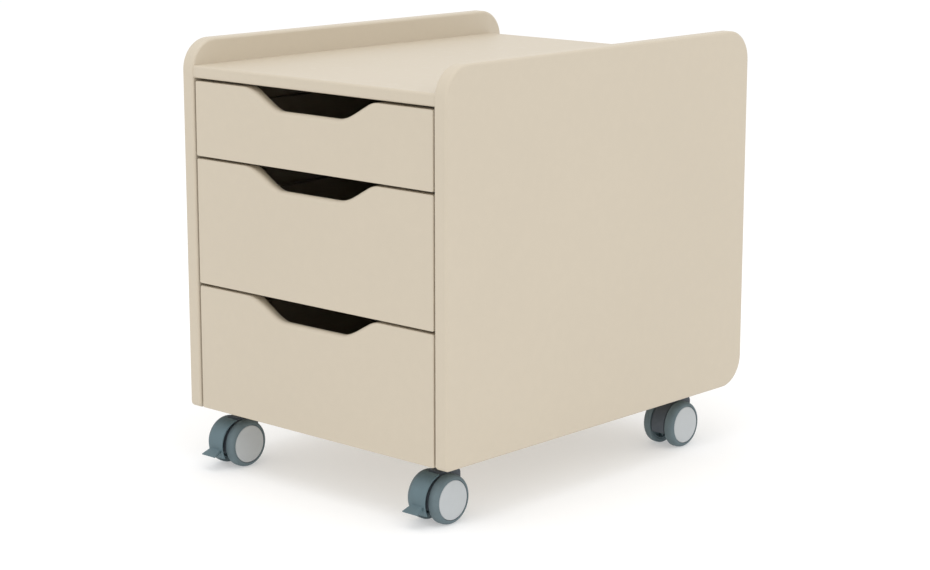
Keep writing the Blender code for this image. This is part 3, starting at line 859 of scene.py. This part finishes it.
def runner(name, side, member):
    """One bent-steel member of a ball runner, pierced and screwed to its board."""
    node = f"{name}_{side}_{member}_runner"
    low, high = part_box(node)
    sign = 1 if side == "right" else -1
    middle_z = (low.z + high.z) / 2
    half = (high.z - low.z) / 2 - SHEET / 2
    reach = high.x - low.x
    on_cabinet = member == "cabinet"
    wall = (high.x if sign > 0 else low.x) if on_cabinet else (low.x if sign > 0 else high.x)
    opens = -sign if on_cabinet else sign
    path = [(SHEET / 2, -half), (SHEET / 2, half)]
    if on_cabinet:
        mouth = reach - SHEET / 2
        path = [(mouth, -half + RUNNER_LIP - SHEET / 2), (mouth, -half), *path, (mouth, half)]
        path.append((mouth, half - RUNNER_LIP + SHEET / 2))
    else:
        path = [(reach, -half), *path, (reach, half)]
    outline = [(wall + opens * x, middle_z + z) for x, z in bent_sheet(path)]
    centre = Matrix.Translation((0, (low.y + high.y) / 2, 0))
    length = high.y - low.y
    shape = moved(board(outline, length, RUNNER_EDGE, SMALL_EDGE_STEPS), centre @ THICK_ALONG_Y)
    web = wall + opens * SHEET
    across = Matrix.Rotation(math.radians(90 * opens), 4, "Y")
    slots = []
    for share in RUNNER_SLOTS[member]:
        place = Matrix.Translation((web, low.y + length * share, middle_z))
        slots.append(("DIFFERENCE", moved(slot_shape(), place @ across)))
    shape = combined(shape, *slots)
    body = "cabinet" if on_cabinet else name
    piece(f"{name}_{side}_{member}_rail", shape, "zinc", body, [node])
    places = []
    for share in RUNNER_SCREWS[member]:
        places.append(Matrix.Translation((web, low.y + length * share, middle_z)) @ across)
    screws = copies(screw_shape(), places)
    piece(f"{name}_{side}_{member}_rail_screws", screws, "bright_steel", body)


def ball_cage(name, side):
    """Two rows of balls between the members, held in a folded strip at the mouth of the runner."""
    low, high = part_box(f"{name}_{side}_cabinet_runner")
    inner_low, inner_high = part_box(f"{name}_{side}_drawer_runner")
    sign = 1 if side == "right" else -1
    middle_z = (low.z + high.z) / 2
    race = ((high.z - low.z) / 2 - SHEET + (inner_high.z - inner_low.z) / 2) / 2
    web = high.x - SHEET if sign > 0 else low.x + SHEET
    ball_x = web - sign * BALL_OFF_WEB
    start = low.y + BALL_START
    balls = bmesh.new()
    for row in (-1, 1):
        for index in range(BALL_COUNT):
            place = Matrix.Translation((ball_x, start + BALL_STEP * index, middle_z + row * race))
            bmesh.ops.create_icosphere(
                balls, subdivisions=BALL_SUBDIVISIONS, radius=BALL_RADIUS, matrix=place
            )
    piece(f"{name}_{side}_balls", balls, "bright_steel", "cabinet", sharp=BALL_SHARP_ANGLE)
    near = web - sign * CAGE_OFF_WEB
    far = ball_x - sign * CAGE_FLANGE_PAST_BALL
    path = [(far, -race), (near, -race), (near, race), (far, race)]
    outline = [(x, middle_z + z) for x, z in bent_sheet(path, CAGE_SHEET, CAGE_BEND)]
    row_length = BALL_STEP * (BALL_COUNT - 1)
    centre = Matrix.Translation((0, start + row_length / 2, 0))
    shape = moved(board(outline, row_length + CAGE_PAST_BALLS, CAGE_EDGE, 1), centre @ THICK_ALONG_Y)
    windows = []
    for index in range(BALL_COUNT):
        y = start + BALL_STEP * index
        for row in (-1, 1):
            z = middle_z + row * race
            foot, head = (ball_x, y, z - CAGE_WINDOW_HALF), (ball_x, y, z + CAGE_WINDOW_HALF)
            window = rod(BALL_RADIUS + CAGE_WINDOW_PLAY, foot, head, SMALL_ROUND_STEPS)
            windows.append(("DIFFERENCE", window))
    piece(f"{name}_{side}_ball_cage", combined(shape, *windows), "cage", "cabinet")


def drawer(name):
    drawer_front(name)
    box_back(name)
    box_floor(name)
    for side in ("left", "right"):
        box_side(name, side)
        runner(name, side, "cabinet")
        runner(name, side, "drawer")
        ball_cage(name, side)


def castor_hub(name):
    """The middle of the castor's axle."""
    low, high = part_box(name + "_axle")
    return (low + high) / 2


def tyre_shape():
    """The tread: a ring with an elliptical shoulder outside and a small round edge inside."""
    face = WHEEL_WIDTH - TYRE_SINK
    lip = DISC_RADIUS + DISC_GROOVE
    profile = [(lip, face - TYRE_LIP_DEPTH), (lip, face - TYRE_LIP_DROP)]
    for across, up in arc((0, 0), 1.0, 90, 0, SHOULDER_STEPS):
        profile.append((WHEEL_RADIUS - SHOULDER_DROP * (1 - across), face - SHOULDER_WIDTH * (1 - up)))
    edge_centre = (WHEEL_RADIUS - TYRE_EDGE, TYRE_INSET + TYRE_EDGE)
    profile += arc(edge_centre, TYRE_EDGE, 0, -90, TYRE_EDGE_STEPS)
    profile += [(TYRE_BORE + TYRE_BORE_CHAMFER, TYRE_INSET), (TYRE_BORE, TYRE_INSET + TYRE_BORE_CHAMFER)]
    profile += [(TYRE_BORE, face - TYRE_BORE_DROP)]
    return turned(profile, WHEEL_STEPS, True)


def core_shape(place):
    """The wheel's core, already in its place: a hub and a rim, joined by ribs in a recess."""
    bore = AXLE_RADIUS + PLAY
    back = WHEEL_WIDTH - DISC_THICK - CORE_OFF_DISC
    profile = [(0.0, WHEEL_BORE), (bore, WHEEL_BORE), (bore, CORE_INSET)]
    profile += [(CORE_HUB - CORE_HUB_CHAMFER, CORE_INSET), (CORE_HUB, CORE_INSET + CORE_HUB_CHAMFER)]
    profile += [(CORE_HUB, CORE_RECESS), (CORE_WALL, CORE_RECESS)]
    profile += [(CORE_WALL, CORE_INSET + CORE_RIM_CHAMFER), (CORE_WALL + CORE_RIM_CHAMFER, CORE_INSET)]
    profile += [(CORE_RADIUS, CORE_INSET), (CORE_RADIUS, back), (0.0, back)]
    low = (CORE_HUB - RIB_SINK_IN_HUB, -RIB_HALF, RIB_INSET)
    high = (CORE_WALL + RIB_SINK_IN_WALL, RIB_HALF, CORE_RECESS + RIB_SINK_IN_FLOOR)
    ribs = []
    for index in range(RIB_COUNT):
        turn = Matrix.Rotation(math.tau * index / RIB_COUNT, 4, "Z")
        ribs.append(("UNION", moved(block(low, high), place @ turn)))
    return combined(moved(turned(profile, WHEEL_STEPS), place), *ribs)


def disc_shape():
    """The cover disc: slightly domed, with a round rim."""
    foot = WHEEL_WIDTH - DISC_THICK
    profile = [(0.0, foot), (DISC_RADIUS - DISC_CHAMFER, foot), (DISC_RADIUS, foot + DISC_CHAMFER)]
    rim_centre = (DISC_RADIUS - DISC_RIM, WHEEL_WIDTH - DISC_DOME - DISC_RIM)
    profile += arc(rim_centre, DISC_RIM, 0, DISC_RIM_ANGLE, DISC_RIM_STEPS)
    edge_radius, edge_height = profile[-1]
    for share in DISC_DOME_SHARES:
        profile.append((edge_radius * share, edge_height + DISC_DOME * (1 - share * share)))
    return turned(profile, WHEEL_STEPS)


def wheel(name, side):
    """A tyre ring round a pale cover disc, on a core whose inner face is hollow and ribbed.

    Each shape's heights run outwards from the wheel's inner face.
    """
    hub = castor_hub(name)
    sign = 1 if side == "right" else -1
    node = f"{name}_{side}_wheel"
    turn = Matrix.Rotation(math.radians(90 * sign), 4, "Y")
    place = Matrix.Translation((hub.x + sign * WHEEL_INNER, hub.y, hub.z)) @ turn
    piece(f"{node}_tyre", moved(tyre_shape(), place), "tyre", node, [node])
    piece(f"{node}_core", core_shape(place), "shell", node)
    piece(f"{node}_disc", moved(disc_shape(), place), "disc", node, sharp=DISC_SHARP_ANGLE)


def body_outline():
    """The body seen from its side, about the axle: a round front, a flat crown and a square back."""
    start, end = BODY_ARC
    outline = arc((0, 0), BODY_RADIUS, 180 - start, 180 - end, BODY_ARC_STEPS)
    outline += [(outline[-1][0] + BODY_STEP_LEAN, BODY_CROWN)]
    radius = BODY_CROWN_CORNER
    outline += arc((BODY_BACK - radius, BODY_CROWN - radius), radius, 90, 0, BODY_CORNER_STEPS)
    radius = BODY_FOOT_CORNER
    centre = (BODY_BACK - radius, BODY_UNDERSIDE + radius)
    return outline + arc(centre, radius, 0, -90, BODY_CORNER_STEPS)


def castor_body(name, braked):
    """The body with its neck, bored for the stem and the axle, and slotted for a brake lever."""
    shape = board(body_outline(), 2 * BODY_HALF, BODY_EDGE, MOULDED_EDGE_STEPS)
    moved(shape, THICK_ALONG_X)
    neck_top = NECK_TOP - WHEEL_RADIUS
    foot = BODY_CROWN - NECK_SINK
    neck = [(0.0, foot), (NECK_RADIUS, foot), (NECK_RADIUS, neck_top - NECK_EDGE)]
    neck += arc((NECK_RADIUS - NECK_EDGE, neck_top - NECK_EDGE), NECK_EDGE, 0, 90, TIP_STEPS)
    neck += [(0.0, neck_top)]
    low = STEM_FOOT - WHEEL_RADIUS - PLAY
    bore = rod(STEM_RADIUS + PLAY, (0, TRAIL, low), (0, TRAIL, neck_top + CUT_PAST))
    reach = BODY_HALF + CUT_PAST
    eye = rod(AXLE_RADIUS + PLAY, (-reach, 0, 0), (reach, 0, 0))
    neck_shape = moved(turned(neck, NECK_STEPS), Matrix.Translation((0, TRAIL, 0)))
    changes = [("UNION", neck_shape), ("DIFFERENCE", bore), ("DIFFERENCE", eye)]
    if braked:
        half = LEVER_SLOT_HALF
        slot = block((-half, -BODY_RADIUS - CUT_PAST, LEVER_SLOT_LOW), (half, 0.0, LEVER_SLOT_HIGH))
        pocket = rod(LEVER_HUB_RADIUS + LEVER_HUB_PLAY, (-half, 0, 0), (half, 0, 0))
        changes += [("DIFFERENCE", slot), ("DIFFERENCE", pocket)]
    shape = moved(combined(shape, *changes), Matrix.Translation(castor_hub(name)))
    # The body's nylon is darkened partly as painted shade for the shade under the cabinet.
    piece(name + "_shell", shape, "body", name, [name + "_body"])


def pedal():
    """The foot pedal: a wedge with a rounded nose that flares towards its tip."""
    tip = Vector(PEDAL_TIP)
    blade = [PEDAL_ROOT]
    for step in PEDAL_NOSE:
        blade.append(tuple(tip + Vector(step)))
    blade.append(PEDAL_ROOT_FOOT)
    shape = moved(board(blade, 2 * PEDAL_TIP_HALF, PEDAL_EDGE, SMALL_EDGE_STEPS), THICK_ALONG_X)
    taper = (1 - PEDAL_ROOT_HALF / PEDAL_TIP_HALF) / (PEDAL_ROOT[0] - PEDAL_TIP[0])
    for corner in shape.verts:
        corner.co.x *= 1 - taper * (corner.co.y - PEDAL_TIP[0])
    return shape


def brake_lever(name):
    """The curved cover over the front of the wheels, its pedal, and the rib and hub that carry it."""
    start, end = LEVER_ARC
    cover = arc((LEVER_CENTRE, 0), LEVER_OUTER, 180 - start, 180 - end, COVER_STEPS)
    cover += arc((LEVER_CENTRE, 0), LEVER_INNER, 180 - end, 180 - start, COVER_STEPS)
    shape = moved(board(cover, 2 * LEVER_HALF, LEVER_EDGE, MOULDED_EDGE_STEPS), THICK_ALONG_X)
    half = LEVER_RIB_HALF
    wall = LEVER_CENTRE - (LEVER_INNER + LEVER_OUTER) / 2
    rib = block((-half, wall, -LEVER_RIB_RISE), (half, 0.0, LEVER_RIB_RISE))
    boss = rod(LEVER_HUB_RADIUS, (-half, 0, 0), (half, 0, 0))
    eye = rod(AXLE_RADIUS + PLAY, (-CUT_PAST, 0, 0), (CUT_PAST, 0, 0))
    changes = [("UNION", pedal()), ("UNION", rib), ("UNION", boss), ("DIFFERENCE", eye)]
    shape = moved(combined(shape, *changes), Matrix.Translation(castor_hub(name)))
    node = name + "_brake_lever"
    piece(node + "_cover", shape, "shell", node, [node])


def axle(name):
    low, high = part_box(name + "_axle")
    half = (high.x - low.x) / 2
    radius = AXLE_RADIUS - AXLE_TIP
    profile = [(0.0, -half), (radius, -half)]
    profile += arc((radius, AXLE_TIP - half), AXLE_TIP, -90, 0, TIP_STEPS)
    profile += arc((radius, half - AXLE_TIP), AXLE_TIP, 0, 90, TIP_STEPS)
    profile += [(0.0, half)]
    turn = Matrix.Rotation(math.radians(90), 4, "Y")
    shape = moved(turned(profile, AXLE_STEPS), Matrix.Translation((low + high) / 2) @ turn)
    piece(name + "_axle_pin", shape, "bright_steel", name, [name + "_axle"])


def stem(name):
    """The stem with its loose collar."""
    low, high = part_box(name + "_stem")
    collar = (high.x - low.x) / 2
    collar_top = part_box(name + "_socket")[0].z - PLAY
    collar_foot = NECK_TOP + PLAY
    tip = STEM_RADIUS - STEM_TIP
    edge = STEM_CHAMFER
    profile = [(0.0, low.z), (tip, low.z), (STEM_RADIUS, low.z + STEM_TIP), (STEM_RADIUS, collar_foot)]
    profile += [(collar - edge, collar_foot), (collar, collar_foot + edge), (collar, collar_top - edge)]
    profile += [(collar - edge, collar_top), (STEM_RADIUS, collar_top)]
    profile += [(STEM_RADIUS, high.z - STEM_TIP), (tip, high.z), (0.0, high.z)]
    place = Matrix.Translation(((low.x + high.x) / 2, (low.y + high.y) / 2, 0))
    shape = moved(turned(profile, PIN_STEPS), place)
    piece(name + "_stem_pin", shape, "bright_steel", "cabinet", [name + "_stem"])


def sleeve(name):
    """The flanged sleeve in the cabinet's floor, in which the stem stands."""
    low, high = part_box(name + "_socket")
    bore = STEM_RADIUS + PLAY
    rim = (high.x - low.x) / 2
    seat = low.z + SLEEVE_FLANGE
    edge = STEM_CHAMFER
    profile = [(bore, high.z), (SLEEVE_RADIUS, high.z), (SLEEVE_RADIUS, seat), (rim, seat)]
    profile += [(rim, low.z + edge), (rim - edge, low.z), (bore, low.z)]
    place = Matrix.Translation(((low.x + high.x) / 2, (low.y + high.y) / 2, 0))
    shape = moved(turned(profile, PIN_STEPS, True), place)
    piece(name + "_sleeve", shape, "zinc", "cabinet", [name + "_socket"])


def castor(corner):
    name = "castor_" + corner
    braked = corner.startswith("front")
    castor_body(name, braked)
    axle(name)
    stem(name)
    sleeve(name)
    wheel(name, "left")
    wheel(name, "right")
    if braked:
        brake_lever(name)


# --- studio --------------------------------------------------------------------------------------


def camera():
    data = bpy.data.cameras.new("camera")
    data.lens = CAMERA_LENS
    data.sensor_width = CAMERA_SENSOR
    data.clip_end = CAMERA_REACH
    made = bpy.data.objects.new("camera", data)
    made.location = CAMERA_PLACE
    made.rotation_euler = (math.radians(90 - CAMERA_PITCH), 0.0, math.radians(CAMERA_YAW))
    bpy.context.scene.collection.objects.link(made)
    bpy.context.scene.camera = made


def softbox(name, place, target, width, power):
    data = bpy.data.lights.new(name, "AREA")
    data.shape = "DISK"
    data.size = width
    data.energy = power
    made = bpy.data.objects.new(name, data)
    made.location = place
    made.rotation_euler = (Vector(target) - Vector(place)).to_track_quat("-Z", "Y").to_euler()
    bpy.context.scene.collection.objects.link(made)


def world():
    made = bpy.data.worlds.new("studio")
    made.use_nodes = True
    made.node_tree.nodes["Background"].inputs["Color"].default_value = (1.0, 1.0, 1.0, 1.0)
    made.node_tree.nodes["Background"].inputs["Strength"].default_value = WORLD_STRENGTH
    bpy.context.scene.world = made


def floor():
    shape = bmesh.new()
    squares = FLOOR_SQUARES
    bmesh.ops.create_grid(shape, x_segments=squares, y_segments=squares, size=FLOOR_HALF)
    made = object_from("floor", shape)
    made.data.materials.append(MATERIALS["floor"])


def studio():
    camera()
    world()
    floor()
    for name, light in LIGHTS.items():
        softbox(name, *light)
    settings = bpy.context.scene.view_settings
    settings.view_transform = "Standard"
    settings.look = "None"


MATERIALS = {
    "lacquer": lacquer(),
    "melamine": melamine(),
    "hardboard": hardboard(),
    "zinc": zinc(),
    "bright_steel": bright_steel(),
    "cage": cage_steel(),
    "shell": moulded_nylon("moulded_nylon", SHELL),
    # A darker copy of the castor nylon for the bodies: partly their own darker tone, partly painted shade
    # for the shade under the cabinet.
    "body": moulded_nylon("dark_nylon_with_painted_shade", BODY_TONE_AND_SHADE),
    "tyre": tyre_rubber(),
    "disc": disc_plastic(),
    "floor": floor_paint(),
}
studio()
side_board("left")
side_board("right")
cross_board("top_board", "top_panel", (TOP_EDGE, BACK_EDGE, BACK_EDGE, TOP_EDGE))
cross_board("back_board", "back_panel", (BACK_EDGE,) * 4)
frame["nodes"]["bottom_panel"].data.materials.clear()
frame["nodes"]["bottom_panel"].data.materials.append(MATERIALS["lacquer"])
for drawer_name in ("bottom_drawer", "middle_drawer", "top_drawer"):
    drawer(drawer_name)
for castor_corner in ("front_left", "front_right", "rear_left", "rear_right"):
    castor(castor_corner)
